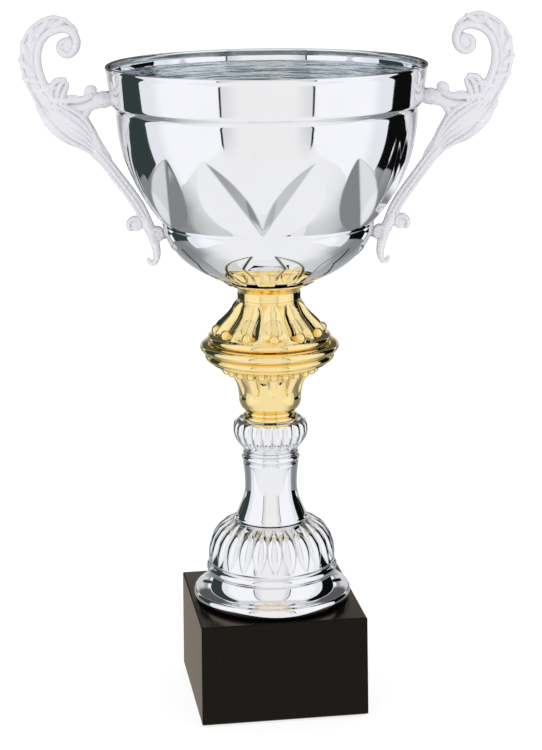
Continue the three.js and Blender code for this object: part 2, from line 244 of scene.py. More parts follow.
def leaf_planes():
    """Both planes of a V-shaped cut: each one's direction out of the metal and its distance from the origin.

    They meet in the line between the leaf's tips, on the side of the fan where angles are positive.
    """
    bottom = body_point(np.array(0.0), LEAF_BOTTOM_Z)[0]
    top = body_point(np.array(LEAF_SPREAD), LEAF_TOP_Z)[0]
    middle = (bottom + top) / 2
    rib = (top - bottom) / np.linalg.norm(top - bottom)
    out = body_point(np.array(math.atan2(middle[0], -middle[1])), (LEAF_BOTTOM_Z + LEAF_TOP_Z) / 2)[1]
    out = out - out.dot(rib) * rib
    out /= np.linalg.norm(out)
    across = np.cross(out, rib)
    across *= np.sign(across[0])
    planes = []
    for tilt in (OUTER_TILT, -INNER_TILT):
        facing = out * math.cos(tilt) - across * math.sin(tilt)
        planes.append((facing, facing.dot(middle)))
    return planes


def soft_least(a, b, blend):
    """The lesser of two depths, rounded where they meet."""
    mix = np.clip(0.5 + 0.5 * (b - a) / blend, 0, 1)
    return b * (1 - mix) + a * mix - blend * mix * (1 - mix)


def leaf_depths(nearest, z):
    """Depths of a leaf's two planes below the body, measured along the body's normal."""
    point, out = body_point(np.abs(nearest), np.clip(z, CREASE_Z, BODY_MIDDLE - 2))
    return [(point.dot(facing) - distance) / out.dot(facing) for facing, distance in leaf_planes()]


def leaf_cut(nearest, z):
    """Depth of the two planar leaves of a fan below the body."""
    depths = leaf_depths(nearest, z)
    depth = soft_least(depths[0], depths[1], 0.5)
    return np.maximum(-soft_least(-depth, 0 * depth, 0.12), 0) * (z > CREASE_Z) * (z < 280)


def bowl_relief(angle, r, z):
    nearest = across_repeat(angle, LEAF_FANS, FAN_TURN) * np.pi / LEAF_FANS
    height = z - LEAF_BOTTOM_Z
    rise = lens(height / CREST_LENGTH, 0.8, 2.4)
    share = 1 - np.abs(nearest) * r / (CREST_HALF * np.maximum(rise, 0.05))
    crest = CREST_HEIGHT * rise * np.clip(share, 0, 1)
    crest = np.where((height > 0) & (height < CREST_LENGTH), crest, 0)
    return crest - leaf_cut(nearest, z) - cap_scoop(nearest, r, z)


def scoop_room(nearest, r, z):
    """Distance inside the edge of the nearest scoop on the cap, a horn that spreads towards the crown."""
    fall = np.clip((SCOOP_TOP_Z - z) / SCOOP_FALL, 0, 1)
    inner = np.radians(np.interp(fall, (0, 0.6, 1), (6, 12.6, 8.5)))
    outer = np.radians(6 + 20 * (1 - (1 - fall) ** 3))
    middle, half = (inner + outer) / 2, (outer - inner) / 2
    room = (half - np.abs(np.abs(nearest) - middle)) * r
    return np.where((z < SCOOP_TOP_Z) & (r > SCOOP_LEAST_R), room, FAR_OUTSIDE)


def cap_scoop(nearest, r, z):
    return SCOOP_DEPTH * ease(scoop_room(nearest, r, z) / SCOOP_WALL)


def painted_edge_reflection(angle, r, z):
    """Strength of the painted dark line, a painted reflection, that follows the edge of each scoop."""
    nearest = across_repeat(angle, LEAF_FANS, FAN_TURN) * np.pi / LEAF_FANS
    nearness = 1 - np.abs(scoop_room(nearest, r, z) - 0.3) / PAINTED_LINE_WIDTH
    clear_of_crown = ease((r - 34.0) / 4.0)
    return np.clip(1.8 * nearness, 0, 1) * clear_of_crown


def hand_ripples(angle, along):
    """The slight waviness of the spun inside."""
    wave = np.sin(5 * angle + 1.1 * along) + 0.8 * np.sin(9 * angle - 1.5 * along + 1.0)
    return 0.09 * (wave + 0.9 * np.sin(21 * angle + 0.5 * along + 2.2))


def bowl():
    outside = bowl_outside()
    below_rim = outside[outside[:, 1] < 307.5]
    inside = (below_rim - outline_normals(below_rim) * BOWL_WALL)[::-3]
    inside[-1] = (ROD_HOLE, BOWL_BOTTOM + BOWL_WALL)
    over = below_rim[::-3]

    def relief(angle, r, z, along):
        return bowl_relief(angle, r, z)

    def inner_relief(angle, r, z, along):
        ripples = hand_ripples(angle, along) * ease((along - 2.5) / 3)
        return ripples + bowl_relief(angle, over[:, :1], over[:, 1:])

    shell = turned("bowl_shell", outside, inside, BOWL_AROUND, relief, inner_relief)
    faces = shell.data.polygons
    inner = np.arange(len(faces)) >= (len(outside) + LIP_ROWS) * BOWL_AROUND
    faces.foreach_set("material_index", inner.astype(np.int32))
    # Painted reflection: a dark line along each scoop's edge on the outside, stored per vertex for the
    # plating's colour
    painted_line_strength = np.zeros(len(shell.data.vertices), np.float32)
    painted_line_strength[:len(outside) * BOWL_AROUND] = painted_edge_reflection(
        turns(BOWL_AROUND), outside[:, :1], outside[:, 1:],
    ).ravel()
    shell.data.attributes.new(EDGE_REFLECTION_ATTRIBUTE, "FLOAT", "POINT").data.foreach_set("value", painted_line_strength)
    return shell


# Gold pieces

FLUTES = 12
BEAD_TURN = math.radians(5)
BELL_BEADS = {"ring": 26.2, "z": 178.7, "radius": 2.45}
CUP_BEADS = {"ring": 22.6, "z": 159.5, "radius": 1.75}


def gold_crown():
    neck = 15.7
    tip_r, tip_z = 22.6, 202.3
    outside = softened([
        line((neck, BELL_TOP + 0.05), (neck, 197.6)),
        bezier((neck, 197.8), (neck + 0.4, 199.8), (19, 200.6), (tip_r, tip_z - 0.3)),
    ], 0.3, 0.2)
    inside = np.vstack([
        line((tip_r - 0.2, tip_z + 0.4)), bezier((tip_r - 1, tip_z), (18, 201), (15, 200.6), (9, 200.4), 12),
        line((ROD_HOLE, 200.4), (ROD_HOLE, 197), (12, 197), (12, BELL_TOP + 0.05)),
    ])

    def petals(angle, r, z, along):
        flare = ease((r - neck) / (tip_r - neck)) * (z > 197)
        wave = np.cos(8 * angle + 0.4)
        crease = 1 - np.abs(np.sin(4 * angle + 0.2))
        return flare * (0.45 * wave - 1.3 * crease ** 2)

    return turned("gold_crown_petals", outside, inside, 480, petals)


def gold_bell():
    low, high = heights("gold_bell")
    outside = softened([
        line((29.0, low)),
        arc((28.7, 174.9), (2.0, 1.9), -80, 70, 18),
        line((28.6, 177.2), (28.4, 177.8)),
        bezier((28.4, 177.8), (26.4, 182.4), (20.4, 185.2), (18.2, 190.3), 40),
        bezier((18.2, 190.3), (17.2, 192.0), (15.9, 192.8), (15.7, high), 14),
    ], 0.3, 0.2)
    inside = line(
        (ROD_HOLE, high), (ROD_HOLE, high - 2), (12, high - 2), (12, 184), (25.6, low + 2), (25.6, low),
    )
    flute_bottom, flute_top = 176.9, 193.4

    def flutes(angle, r, z, along):
        share = (z - flute_bottom) / (flute_top - flute_bottom)
        clipped = np.clip(share, 0, 1)
        width = 0.93 * np.sqrt(np.clip(1 - clipped ** 6, 0, 1))
        half = np.pi / FLUTES * r * width
        across = across_repeat(angle, FLUTES, BEAD_TURN) / np.maximum(width, 1e-3)
        hollow = np.clip(1 - across ** 2, 0, 1)
        return -np.where((share > 0) & (share < 1), 0.44 * half * hollow * ease(share / 0.2), 0)

    return turned("gold_bell_body", outside, inside, 600, flutes)


def ball(centre, radius, rows=16, around=28):
    tilt = np.linspace(-np.pi / 2, np.pi / 2, rows)[:, None]
    turn = turns(around)
    x = centre[0] + radius * np.cos(tilt) * np.cos(turn)
    y = centre[1] + radius * np.cos(tilt) * np.sin(turn)
    z = centre[2] + radius * np.sin(tilt) + 0 * turn
    return np.stack([x, y, z], -1).reshape(-1, 3), grid_faces(rows, around, False, True)


def bead_ring(name, count, ring, z, radius):
    beads = []
    for k in range(count):
        angle = BEAD_TURN + 2 * np.pi * k / count
        beads.append(ball((ring * math.sin(angle), -ring * math.cos(angle), z), radius))
    return merged(name, beads)


def bell_beads():
    return bead_ring("gold_bell_beads", FLUTES, **BELL_BEADS)


def cup_beads():
    return bead_ring("gold_cup_beads", 2 * FLUTES, **CUP_BEADS)


def merged(name, parts):
    vertices, faces, start = [], [], 0
    for part_vertices, part_faces in parts:
        vertices.append(part_vertices)
        faces += [[corner + start for corner in face] for face in part_faces]
        start += len(part_vertices)
    return mesh_object(name, np.vstack(vertices), faces)


def gold_cup():
    low, high = heights("gold_cup")
    outside = softened([
        line((12.9, low), (13.7, low + 0.4), (13.7, 136.4), (13.1, 137.0), (12.0, 137.2), (11.9, 138.6)),
        bezier((12.3, 139.0), (14.6, 140.2), (15.6, 143.0), (15.5, 146.5), 24),
        bezier((15.5, 146.5), (15.6, 150), (17.0, 154), (19.8, 157.3), 24),
        line((22.0, 159.8), (24.8, 161.4), (27.2, 162.1)),
        arc((27.9, 163.2), (1.3, 0.9), -70, 60, 10),
        arc((29.9, 165.9), (2.1, 1.9), -75, 75, 16),
        arc((31.8, 170.5), (2.6, 2.2), -78, 78, 22),
        line((31.6, high)),
    ], 0.3, 0.18)
    inside = line(
        (ROD_HOLE, high), (ROD_HOLE, high - 2), (25, high - 2), (22, 164), (12, 150), (9.5, 141), (9.5, low),
    )
    scallop_bottom, scallop_top = 148.0, 158.5

    def scallops(angle, r, z, along):
        share = (z - scallop_bottom) / (scallop_top - scallop_bottom)
        width = 0.6 * np.sqrt(np.clip(1 - (1 - np.clip(share, 0, 1)) ** 2.6, 0, 1))
        half = np.pi / FLUTES * r * width
        across = across_repeat(angle, FLUTES, BEAD_TURN) / np.maximum(width, 1e-3)
        hollow = np.clip(1 - across ** 2, 0, 1)
        return -np.where((share > 0) & (share < 1), 0.5 * half * hollow * ease((1 - share) / 0.2), 0)

    return turned("gold_cup_body", outside, inside, 600, scallops)


# Silver stem


def knop():
    low, high = heights("stem_knop")
    outside = softened([
        line((13.2, low), (13.5, low + 0.8)),
        bezier((13.5, low + 0.8), (15.8, 122.6), (18.5, 125.8), (18.5, 129.4), 30),
        bezier((18.5, 129.4), (18.5, 132.2), (17.6, 134.2), (15.4, high), 24),
        line((13.8, high - 0.2)),
    ], 0.25, 0.15)
    inside = line((ROD_HOLE, high - 0.3), (ROD_HOLE, high - 2), (9.5, high - 2), (9.5, low))
    count, depth = 20, 1.6
    first, last = span(outside, 120.8, 134.3)

    def gadroons(angle, r, z, along):
        share = np.clip((along - first) / (last - first), 0, 1)
        ends = ease(share / 0.12) * ease((1 - share) / 0.2)
        lobes = dome_section(across_repeat(angle, count, math.radians(12)), 1.0)
        return -depth * (1 - lobes) * ends

    return turned("stem_knop_body", outside, inside, 720, gadroons)


def collar():
    low, high = heights("stem_collar")
    outside = softened([
        line((13.1, low)), arc((12.5, 116.0), (1.8, 1.7), -80, 75, 20), line((13.0, 117.8)),
        arc((12.9, 118.5), (0.8, 0.6), -70, 70, 8), line((12.9, high)),
    ], 0.2, 0.1)
    inside = line((ROD_HOLE, high), (ROD_HOLE, low))
    return turned("stem_collar_ring", outside, inside, 320)


def column():
    low, high = heights("stem_column")
    outside = softened([
        line((17.0, low), (17.7, low + 0.5), (17.7, low + 1.3), (17.2, low + 1.8)),
        bezier((17.0, 88.0), (15.2, 92.6), (12.9, 96.4), (12.8, 101), 50),
        bezier((12.8, 101), (12.7, 105), (13.1, 109.6), (13.8, high - 0.6), 30),
        line((13.5, high)),
    ], 0.35, 0.2)
    inside = line((ROD_HOLE, high), (ROD_HOLE, high - 2), (9.5, high - 2), (9.5, low))
    return turned("stem_column_body", outside, inside, 400)


def foot():
    low, high = heights("foot")
    outside = softened([
        line((36.6, low), (37.6, low + 0.6)),
        arc((36.9, 50.2), (1.6, 2.4), -60, 80, 18),
        bezier((36.6, 52.9), (33.2, 54.0), (31.2, 56.6), (30.6, 60.0), 24),
        line((30.5, 60.2)),
        arc((30.6, 62.4), (1.5, 2.0), -75, 75, 16),
        line((30.6, 65.0)),
        bezier((31.0, 65.8), (31.4, 72.5), (29.9, 77.6), (26.0, 81.6), 40),
        bezier((26.0, 81.6), (23.6, 83.6), (20.4, 84.6), (17.4, high), 24),
    ], 0.35, 0.18)
    inside = line((ROD_HOLE, high), (ROD_HOLE, high - 2), (14, high - 4), (23.4, 76), (25.4, 66), (33.4, low))
    count, depth = 24, 2.0
    first, last = span(outside, 66.4, 84.9)

    def gadroons(angle, r, z, along):
        share = np.clip((along - first) / (last - first), 0, 1)
        bulge = np.maximum(np.sin(np.pi * share), 0)
        lobes = dome_section(across_repeat(angle, count, math.radians(3)), bulge ** 0.75)
        return -depth * bulge ** 0.6 * (1 - lobes)

    return turned("foot_body", outside, inside, 720, gadroons)


# Handles: sculpted from tapered strands in the plane of the trophy's axis, then fused into one skin

VOXEL = 0.32
SMOOTHING, SMOOTH_ROUNDS = 0.5, 4


def strand(stations, thick, samples=8, around=14):
    """A tapered rod through stations of (distance, height, half width). thick is its depth over its width."""
    stations = np.array(stations, float)
    padded = np.vstack([2 * stations[0] - stations[1], stations, 2 * stations[-1] - stations[-2]])
    points = []
    for k in range(1, len(padded) - 2):
        t = np.linspace(0, 1, samples, endpoint=False)[:, None]
        a, b, c, d = padded[k - 1:k + 3]
        points.append(0.5 * (2 * b + (c - a) * t + (2 * a - 5 * b + 4 * c - d) * t ** 2
                             + (3 * b - a - 3 * c + d) * t ** 3))
    points = np.vstack(points + [stations[-1:]])
    along = np.gradient(points[:, :2], axis=0)
    along /= np.linalg.norm(along, axis=1, keepdims=True)
    half = np.maximum(points[:, 2], 0.25)
    cap = np.sin(np.linspace(0.15, np.pi / 2, 4))
    starts = [points[0, :2] - along[0] * half[0] * math.sqrt(1 - s * s) for s in cap]
    ends = [points[-1, :2] + along[-1] * half[-1] * math.sqrt(1 - s * s) for s in cap[::-1]]
    centre = np.vstack([starts, points[:, :2], ends])
    radius = np.concatenate([half[0] * cap, half, half[-1] * cap[::-1]])
    side = np.vstack([[along[0]] * 4, along, [along[-1]] * 4])
    normal = np.stack([-side[:, 1], side[:, 0]], 1)
    turn = turns(around)
    across = radius[:, None] * np.cos(turn)
    x = centre[:, :1] + normal[:, :1] * across
    z = centre[:, 1:] + normal[:, 1:] * across
    y = thick * radius[:, None] * np.sin(turn)
    vertices = np.stack([x, y, z], -1).reshape(-1, 3)
    faces = [tuple(f) for f in grid_faces(len(centre), around, False, True)]
    count = len(vertices)
    faces.append(tuple(range(around))[::-1])
    faces.append(tuple(range(count - around, count)))
    return vertices, faces


def scroll_strands():
    tube = strand([
        (104.5, 291.5, 1.6), (108.6, 297.6, 2.0), (111.0, 302.4, 2.0), (112.7, 307.6, 2.0),
        (113.4, 312.8, 2.0), (113.0, 317.4, 2.0), (111.4, 321.8, 2.0), (108.6, 325.2, 2.1),
        (104.9, 327.2, 2.2), (100.4, 328.0, 2.2), (96.0, 326.2, 2.1), (93.9, 321.6, 2.1),
        (95.0, 317.1, 2.0), (98.4, 315.0, 1.9), (101.6, 316.8, 1.9), (102.0, 320.2, 1.7),
        (99.9, 321.9, 1.4), (98.3, 320.3, 1.2),
    ], 2.0)
    disc = strand([(97.9, 318.9, 5.0), (97.9, 319.0, 5.0)], 0.62)
    eye = strand([(97.9, 318.9, 1.3), (97.9, 319.0, 1.3)], 2.9)
    plate = strand([
        (108.6, 292.5, 4.6), (112.6, 298, 4.4), (115.4, 304.6, 4.6), (116.9, 312.8, 4.6), (115.7, 320.6, 4.6),
        (110.9, 327.2, 4.4), (104.2, 330.2, 3.6), (98.4, 329.6, 2.4), (95.0, 327.0, 2.0),
    ], 0.55)
    rim = strand([
        (111.6, 288.2, 1.0), (116.0, 296.4, 1.0), (119.4, 303.4, 1.0), (121.0, 311.6, 1.0),
        (120.2, 321.4, 1.0), (115.2, 329.2, 1.0), (106.4, 333.6, 1.0), (99.6, 332.0, 0.9),
        (95.4, 328.8, 0.8),
    ], 2.6)
    return [tube, disc, eye, plate, rim]


def feather_lobes():
    """Overlapping lobes that lie along the outer edge of the scroll."""
    lobes = []
    centre = np.array([103.4, 314.4])
    for k in range(7):
        turn = math.radians(92 - 27 * k)
        out = np.array([math.cos(turn), math.sin(turn)])
        back = np.array([-out[1], out[0]])
        stretch = 1.0 if k < 5 else 1.06
        root = centre + out * 13.4 * stretch - back * 5.5
        middle = centre + out * 15.4 * stretch - back * 1.0
        tip = centre + out * 18.2 * stretch + back * 3.2
        lobes.append(strand([(*root, 0.9), (*middle, 2.1), (*tip, 1.3)], 1.9))
    return lobes


def leaf_strands():
    body = strand([
        (110.5, 289.5, 4.2), (104.6, 284.6, 7.2), (97.4, 279.6, 8.4), (91.0, 275.0, 7.2), (85.6, 269.6, 4.6),
        (80.6, 263.4, 3.6),
    ], 0.42)
    strands = [body]
    for k in range(6):
        share = k / 5
        start = np.array([111.6 - 7.5 * share, 287.6 + 4.2 * share])
        bend = np.array([100.4 - 7.6 * share, 274.8 + 11.2 * share])
        knee = np.array([90.6 - 3.2 * share, 268.8 + 10.6 * share])
        end = np.array([82.2 - 1.0 * share, 263.4 + 3.6 * share])
        strands.append(strand([(*start, 1.0), (*bend, 1.5), (*knee, 1.3), (*end, 0.7)], 2.5))
    return strands


def strut_strands():
    """Three ridges side by side along the strut, and a flat core behind them."""
    spine = ((84.6, 267.4), (79.4, 261.0), (73.4, 253.0), (66.8, 244.2), (62.4, 237.0), (59.4, 230.0))
    across = (0.78, -0.62)
    strands = []
    for shift, half in ((-1.9, 1.05), (0.0, 1.25), (1.9, 1.05)):
        path = [(r + shift * across[0], z + shift * across[1], half) for r, z in spine]
        strands.append(strand(path, 2.4))
    core = [(84.6, 267.4, 3.0), (73.4, 253.0, 2.6), (62.4, 237.0, 2.4), (58.6, 228.0, 2.6)]
    strands.append(strand(core, 0.9))
    return strands


def curl(centre, radius, half, start, rounds, thick):
    """A tapered spiral that winds inwards round its centre."""
    path = []
    steps = int(10 * rounds)
    for k in range(steps + 1):
        share = k / steps
        angle = math.radians(start) + rounds * 2 * np.pi * share
        reach = radius * (1 - 0.8 * share)
        x = centre[0] + reach * math.cos(angle)
        z = centre[1] + reach * math.sin(angle)
        path.append((x, z, half * (1 - 0.3 * share)))
    return strand(path, thick, 4)


def handle_details():
    arm_low = strand([
        (107, 289.6, 2.2), (100, 288.4, 2.2), (93.6, 288.4, 2.4), (88.0, 289.8, 2.8), (83.2, 291.6, 3.2),
        (79.6, 292.2, 3.6),
    ], 1.15)
    arm_high = strand([(105, 293.2, 1.7), (98.4, 292.6, 1.7), (91.8, 292.8, 1.7), (86.6, 294.8, 1.5)], 2.1)
    throat = strand([(88.6, 287.6, 2.0), (90.6, 284.6, 2.2), (93.0, 281.6, 2.0)], 1.4)
    tips = [
        strand([(106.6, 293.0, 1.5), (106.4, 298.4, 1.5), (104.2, 302.0, 1.5), (100.2, 303.0, 1.1)], 2.2),
        strand([(104.0, 292.0, 1.6), (103.4, 297.0, 1.6), (101.8, 300.6, 1.4), (99.6, 302.0, 1.0)], 1.8),
        strand([(101.6, 291.4, 1.6), (100.6, 295.6, 1.6), (99.4, 298.6, 1.4), (98.6, 300.6, 1.0)], 2.1),
        strand([(99.6, 291.0, 1.5), (97.8, 293.6, 1.4), (95.4, 294.2, 1.0), (92.6, 293.6, 0.8)], 1.9),
    ]
    bud = strand([(88.2, 294.6, 1.7), (88.0, 296.8, 2.4), (86.4, 297.4, 2.5), (85.6, 296.2, 1.6)], 1.2)
    boss = strand([(84.0, 292.8, 3.2), (81.6, 292.7, 4.3), (79.6, 292.7, 4.0)], 1.0)
    band = curl((82.0, 292.6), 3.6, 0.9, 200, 0.6, 5.2)
    return [arm_low, arm_high, throat, bud, boss, band] + tips


def tail_strands():
    return [
        strand([
            (60.6, 233.4, 2.6), (57.8, 227.0, 2.6), (55.9, 220.6, 2.2), (55.2, 215.4, 1.8),
            (56.4, 211.8, 1.4), (58.6, 211.8, 1.2), (59.2, 213.2, 1.0),
        ], 1.5),
        curl((65.6, 231.0), 3.6, 1.3, -40, 1.3, 2.8),
        strand([(65.6, 231.0, 3.8), (65.4, 231.1, 3.8)], 0.75),
        strand([(61.6, 232.6, 2.0), (64.0, 231.6, 2.2)], 1.2),
        curl((54.8, 225.8), 3.2, 1.3, 20, 1.2, 2.8),
        strand([(54.9, 225.7, 3.9), (54.8, 225.8, 3.9)], 0.8),
    ]


def handle(name, side):
    """One cast handle. Side 1 is the right one. Side -1, the left one, is that turned half round Z."""
    parts = scroll_strands() + feather_lobes() + leaf_strands()
    parts += strut_strands() + handle_details() + tail_strands()
    rough = merged(name + "_strands", parts)
    remesh = rough.modifiers.new("fuse", "REMESH")
    remesh.mode = "VOXEL"
    remesh.voxel_size = VOXEL * MM
    polish = rough.modifiers.new("polish", "SMOOTH")
    polish.factor = SMOOTHING
    polish.iterations = SMOOTH_ROUNDS
    graph = bpy.context.evaluated_depsgraph_get()
    mesh = bpy.data.meshes.new_from_object(rough.evaluated_get(graph))
    bpy.data.objects.remove(rough)
    if side < 0:
        co = np.zeros(len(mesh.vertices) * 3, np.float32)
        mesh.vertices.foreach_get("co", co)
        co = co.reshape(-1, 3)
        co[:, :2] *= -1
        mesh.vertices.foreach_set("co", co.ravel())
    mesh.polygons.foreach_set("use_smooth", [True] * len(mesh.polygons))
    mesh.name = name
    piece = bpy.data.objects.new(name, mesh)
    bpy.context.scene.collection.objects.link(piece)
    return piece


# Materials


def new_material(name):
    material = bpy.data.materials.new(name)
    material.use_nodes = True
    tree = material.node_tree
    return material, tree, tree.nodes["Principled BSDF"]


def noise(tree, scale, detail=4.0, roughness=0.5, stretch=(1, 1, 1)):
    place = tree.nodes.new("ShaderNodeTexCoord")
    mapping = tree.nodes.new("ShaderNodeMapping")
    mapping.inputs["Scale"].default_value = stretch
    texture = tree.nodes.new("ShaderNodeTexNoise")
    texture.inputs["Scale"].default_value = scale
    texture.inputs["Detail"].default_value = detail
    texture.inputs["Roughness"].default_value = roughness
    tree.links.new(place.outputs["Object"], mapping.inputs["Vector"])
    tree.links.new(mapping.outputs["Vector"], texture.inputs["Vector"])
    return texture.outputs["Fac"]


def spread(tree, value, low, high, from_low=0.3, from_high=0.7):
    node = tree.nodes.new("ShaderNodeMapRange")
    node.inputs["From Min"].default_value = from_low
    node.inputs["From Max"].default_value = from_high
    node.inputs["To Min"].default_value = low
    node.inputs["To Max"].default_value = high
    tree.links.new(value, node.inputs["Value"])
    return node.outputs["Result"]


def mix_colour(tree, factor, first, second):
    """The first colour where the factor is 0, the second where it is 1; each a tuple or a node's output."""
    node = tree.nodes.new("ShaderNodeMix")
    node.data_type = "RGBA"
    for socket, colour in (("A", first), ("B", second)):
        if isinstance(colour, tuple):
            node.inputs[socket].default_value = (*colour, 1)
        else:
            tree.links.new(colour, node.inputs[socket])
    tree.links.new(factor, node.inputs["Factor"])
    return node.outputs["Result"]


def bump(tree, value, strength, distance):
    node = tree.nodes.new("ShaderNodeBump")
    node.inputs["Strength"].default_value = strength
    node.inputs["Distance"].default_value = distance
    tree.links.new(value, node.inputs["Height"])
    return node.outputs["Normal"]


def mix_shaders(tree, factor, first, second):
    """Makes the surface the first shader where the factor is 0 and the second where it is 1."""
    whole = tree.nodes.new("ShaderNodeMixShader")
    tree.links.new(factor, whole.inputs["Fac"])
    tree.links.new(first.outputs[0], whole.inputs[1])
    tree.links.new(second.outputs[0], whole.inputs[2])
    tree.links.new(whole.outputs[0], tree.nodes["Material Output"].inputs["Surface"])


# Colour of the painted dark reflection lines on the bowl's scoops
PAINTED_REFLECTION_LINE_COLOUR = (0.02, 0.03, 0.03)


def plated(name, bright, dull, smooth, worn, hollow=None, painted_lines=False):
    """Polished plating: smudges in colour and roughness, a slight ripple, and where asked for, painted shade
    in concave creases and painted dark reflection lines.
    """
    material, tree, shader = new_material(name)
    smudge = noise(tree, 60, 5, 0.6)
    shader.inputs["Metallic"].default_value = 1.0
    colour = mix_colour(tree, smudge, bright, dull)
    # Painted shade: concave creases, found by pointiness, are darkened towards the hollow colour.
    if hollow:
        shape = tree.nodes.new("ShaderNodeNewGeometry")
        crease = spread(tree, shape.outputs["Pointiness"], 1, 0, 0.40, 0.485)
        colour = mix_colour(tree, crease, colour, hollow)
    # Painted reflection: dark lines laid on from the vertex attribute.
    if painted_lines:
        painted_line_strength = tree.nodes.new("ShaderNodeAttribute")
        painted_line_strength.attribute_name = EDGE_REFLECTION_ATTRIBUTE
        colour = mix_colour(tree, painted_line_strength.outputs["Fac"], colour, PAINTED_REFLECTION_LINE_COLOUR)
    tree.links.new(colour, shader.inputs["Base Color"])
    tree.links.new(spread(tree, smudge, smooth, worn), shader.inputs["Roughness"])
    wave = noise(tree, 45, 2, 0.4)
    tree.links.new(bump(tree, wave, 0.02, 0.001), shader.inputs["Normal"])
    return material


def spun_inside():
    """The duller inside of the bowl, with fine rings left by spinning it and cloudy streaks along them; the
    streaks' dark bluish colour is painted reflection of dark surroundings.
    """
    material, tree, shader = new_material("silver_inside")
    rings = noise(tree, 60, 4, 0.6, (0.35, 0.35, 6.0))
    cloud = noise(tree, 30, 5, 0.65, (0.6, 0.6, 3.0))
    shader.inputs["Metallic"].default_value = 1.0
    # Painted reflection: the dark bluish patches of the cloud stand in for dark surroundings seen in the
    # inside; the rougher patches are real dullness.
    colour = mix_colour(tree, cloud, (0.30, 0.36, 0.39), (0.88, 0.92, 0.95))
    tree.links.new(colour, shader.inputs["Base Color"])
    tree.links.new(spread(tree, cloud, 0.06, 0.16), shader.inputs["Roughness"])
    tree.links.new(bump(tree, rings, 0.8, 0.001), shader.inputs["Normal"])
    return material


def marble():
    """Near-black polished stone: faint specks and a brownish reflection that grows where it turns away."""
    material, tree, shader = new_material("marble_polished")
    cloud = noise(tree, 35, 6, 0.6)
    speck = noise(tree, 900, 2, 0.5)
    base = mix_colour(tree, cloud, (0.0012, 0.0009, 0.0006), (0.0030, 0.0022, 0.0016))
    specks = mix_colour(tree, spread(tree, speck, 0, 1, 0.66, 0.76), base, (0.012, 0.010, 0.008))
    tree.links.new(specks, shader.inputs["Base Color"])
    shader.inputs["Roughness"].default_value = 0.6
    shader.inputs["Specular IOR Level"].default_value = 0.0
    gloss = tree.nodes.new("ShaderNodeBsdfGlossy")
    gloss.inputs["Color"].default_value = (1.0, 0.84, 0.70, 1)
    tree.links.new(spread(tree, cloud, 0.18, 0.24), gloss.inputs["Roughness"])
    tree.links.new(bump(tree, speck, 0.05, 0.0004), gloss.inputs["Normal"])
    fresnel = tree.nodes.new("ShaderNodeFresnel")
    fresnel.inputs["IOR"].default_value = 1.25
    mix_shaders(tree, fresnel.outputs[0], shader, gloss)
    return material


def clear_plastic():
    """Clear cast plastic with a frosted, slightly lilac body; painted shade darkens its edges where it turns
    away and its creases, and a faint painted glow brightens it.
    """
    material, tree, shader = new_material("handle_plastic")
    # Painted shade: where the surface turns away it fades to a dull grey diffuse, standing in for the dark
    # edges of the clear plastic.
    facing = tree.nodes.new("ShaderNodeLayerWeight")
    facing.inputs["Blend"].default_value = 0.5
    edge = spread(tree, facing.outputs["Facing"], 0, 1, 0.55, 0.85)
    grain = noise(tree, 220, 4, 0.6)
    # Painted shade: concave creases are darkened.
    shape = tree.nodes.new("ShaderNodeNewGeometry")
    crease = spread(tree, shape.outputs["Pointiness"], 1, 0, 0.44, 0.492)
    body = mix_colour(tree, crease, (0.90, 0.90, 0.93), (0.46, 0.46, 0.51))
    tree.links.new(body, shader.inputs["Base Color"])
    tree.links.new(spread(tree, grain, 0.26, 0.40), shader.inputs["Roughness"])
    tree.links.new(bump(tree, grain, 0.10, 0.0004), shader.inputs["Normal"])
    shader.inputs["Transmission Weight"].default_value = 0.25
    shader.inputs["IOR"].default_value = 1.3
    # Painted glow: a faint emission makes the plastic brighter.
    shader.inputs["Emission Color"].default_value = (0.95, 0.95, 1.0, 1)
    shader.inputs["Emission Strength"].default_value = 0.04
    # The dull grey diffuse of the painted edge shade.
    rim = tree.nodes.new("ShaderNodeBsdfDiffuse")
    tree.links.new(mix_colour(tree, grain, (0.44, 0.44, 0.47), (0.54, 0.54, 0.58)), rim.inputs["Color"])
    mix_shaders(tree, edge, shader, rim)
    return material


def zinc_steel():
    material, tree, shader = new_material("zinc_steel")
    mottle = noise(tree, 400, 4, 0.6)
    shader.inputs["Metallic"].default_value = 1.0
    colour = mix_colour(tree, mottle, (0.55, 0.56, 0.58), (0.40, 0.41, 0.43))
    tree.links.new(colour, shader.inputs["Base Color"])
    tree.links.new(spread(tree, mottle, 0.25, 0.4), shader.inputs["Roughness"])
    tree.links.new(bump(tree, mottle, 0.1, 0.0002), shader.inputs["Normal"])
    return material


def pad_rubber():
    material, tree, shader = new_material("pad_rubber")
    grain = noise(tree, 700, 3, 0.6)
    colour = mix_colour(tree, grain, (0.012, 0.012, 0.012), (0.025, 0.025, 0.025))
    tree.links.new(colour, shader.inputs["Base Color"])
    tree.links.new(spread(tree, grain, 0.75, 0.95), shader.inputs["Roughness"])
    tree.links.new(bump(tree, grain, 0.3, 0.0003), shader.inputs["Normal"])
    return material


def dress(piece, *materials):
    """Gives a piece its materials; the faces keep the material numbers they had."""
    numbers = np.zeros(len(piece.data.polygons), np.int32)
    piece.data.polygons.foreach_get("material_index", numbers)
    piece.data.materials.clear()
    for material in materials:
        piece.data.materials.append(material)
    if len(materials) > 1:
        piece.data.polygons.foreach_set("material_index", numbers)


# Studio


def calc(tree, operation, *values):
    node = tree.nodes.new("ShaderNodeMath")
    node.operation = operation
    for socket, value in zip(node.inputs, values):
        if isinstance(value, (int, float)):
            socket.default_value = value
        else:
            tree.links.new(value, socket)
    return node.outputs[0]


